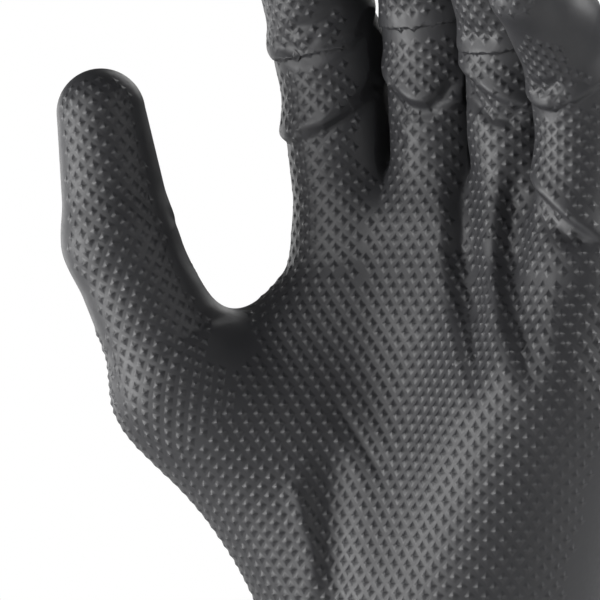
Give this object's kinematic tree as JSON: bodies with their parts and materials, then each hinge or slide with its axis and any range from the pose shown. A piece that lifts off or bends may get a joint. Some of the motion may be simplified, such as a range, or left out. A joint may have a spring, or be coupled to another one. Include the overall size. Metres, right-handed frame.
{
  "type": "nitrile exam glove",
  "caption": "Left-hand nitrile exam glove in its worn form: a hollow dipped film with a raised diamond grip, mildly bent fingers, thumb held apart and a rolled cuff bead.",
  "frame": {"origin": "middle of the cuff opening, in the plane of the cuff's edge", "axes": "+Z from the cuff towards the fingertips, -Y out of the palm, -X towards the thumb"},
  "size_m": [0.1218, 0.076, 0.2346],
  "materials": {
    "nitrile_film": "satin black nitrile rubber with raised diamond grip texture"
  },
  "bodies": {
    "root": {"glove": "nitrile_film"}
  },
  "joints": []
}
